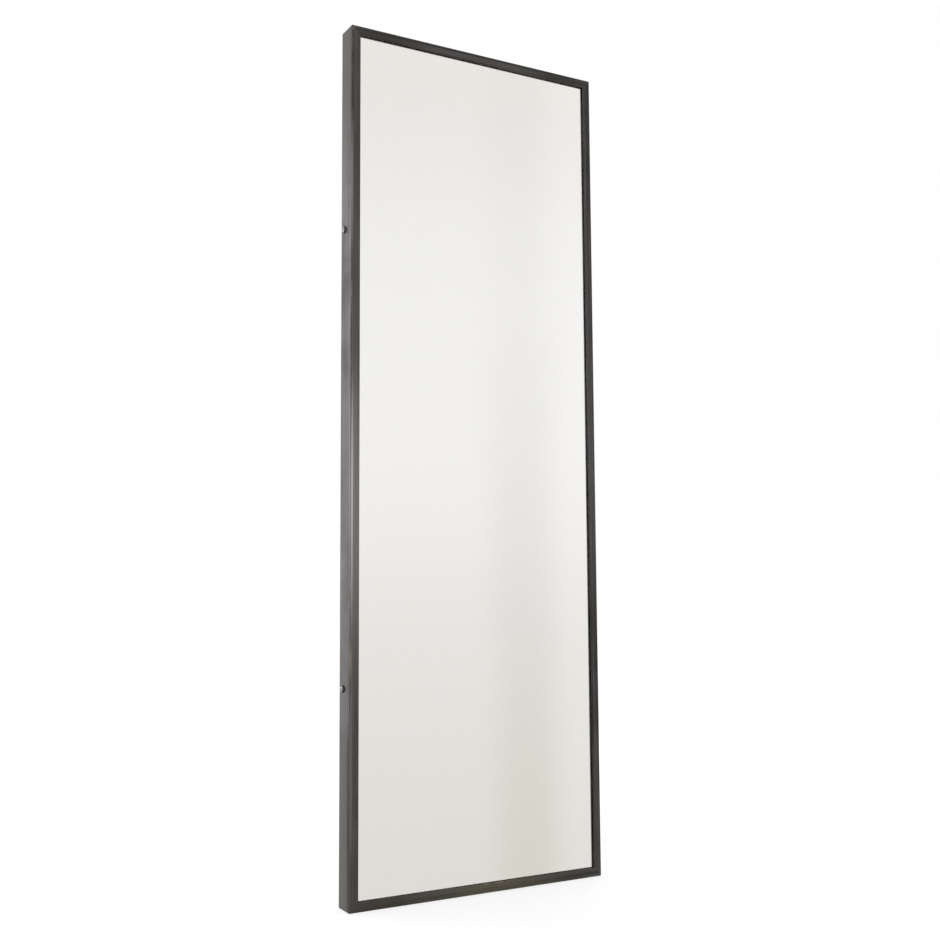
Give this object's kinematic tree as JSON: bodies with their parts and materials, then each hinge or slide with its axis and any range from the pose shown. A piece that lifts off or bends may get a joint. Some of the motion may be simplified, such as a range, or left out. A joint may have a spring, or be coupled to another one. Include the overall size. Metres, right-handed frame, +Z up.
{
  "type": "wall mirror",
  "caption": "Tall rectangular wall mirror in a shallow welded tray of folded dark steel, with dome-head side screws, a timber sub-frame behind the glass and swinging ring hangers.",
  "frame": {"origin": "on the wall plane, in the middle of the bottom edge of the frame's back rim", "axes": "+X to the right as seen from the front, +Y back into the wall, +Z up"},
  "size_m": [0.6102, 0.05, 1.8],
  "materials": {
    "frame_steel": "dark worn gunmetal, brushed lengthwise, clear lacquer",
    "weld_steel": "dark wire-brushed weld bead",
    "screw_steel": "darkened steel, slightly rubbed",
    "glazing_foam": "black closed-cell foam tape",
    "clear_glass": "clear float glass with polished arrises",
    "mirror_silver": "silvered face, grey paint and clear film behind",
    "bonding_foam": "white closed-cell foam",
    "block_rubber": "black rubber",
    "plywood": "sanded birch plywood, bare",
    "pine": "planed pine, bare",
    "beech": "fluted beech, bare",
    "zinc_steel": "bright zinc plate"
  },
  "bodies": {
    "mirror": {"frame_left_stile": "frame_steel", "frame_right_stile": "frame_steel", "frame_top_rail": "frame_steel", "frame_bottom_rail": "frame_steel", "corner_welds": "weld_steel", "side_screws": "screw_steel", "glazing_tape_left": "glazing_foam", "glazing_tape_right": "glazing_foam", "glazing_tape_top": "glazing_foam", "glazing_tape_bottom": "glazing_foam", "mirror_glass": "clear_glass", "silver_backing": "mirror_silver", "mirror_pads": "bonding_foam", "setting_blocks": "block_rubber", "location_blocks": "block_rubber", "back_board": "plywood", "timber_left_stile": "pine", "timber_right_stile": "pine", "timber_bottom_rail": "pine", "timber_middle_rail": "pine", "timber_top_rail": "pine", "rail_dowels": "beech", "board_screws": "zinc_steel", "hanger_screws": "zinc_steel", "left_hanger_strap": "zinc_steel", "right_hanger_strap": "zinc_steel"},
    "left_ring": {"left_hanger_ring": "zinc_steel"},
    "right_ring": {"right_hanger_ring": "zinc_steel"}
  },
  "joints": [
    {"name": "left_ring_swing", "type": "hinge", "parent": "mirror", "child": "left_ring", "pos_m": [-0.275, -0.00375, 1.45], "axis": [1, 0, 0], "range_deg": [0, 178]},
    {"name": "right_ring_swing", "type": "hinge", "parent": "mirror", "child": "right_ring", "pos_m": [0.275, -0.00375, 1.45], "axis": [1, 0, 0], "range_deg": [0, 178]}
  ]
}
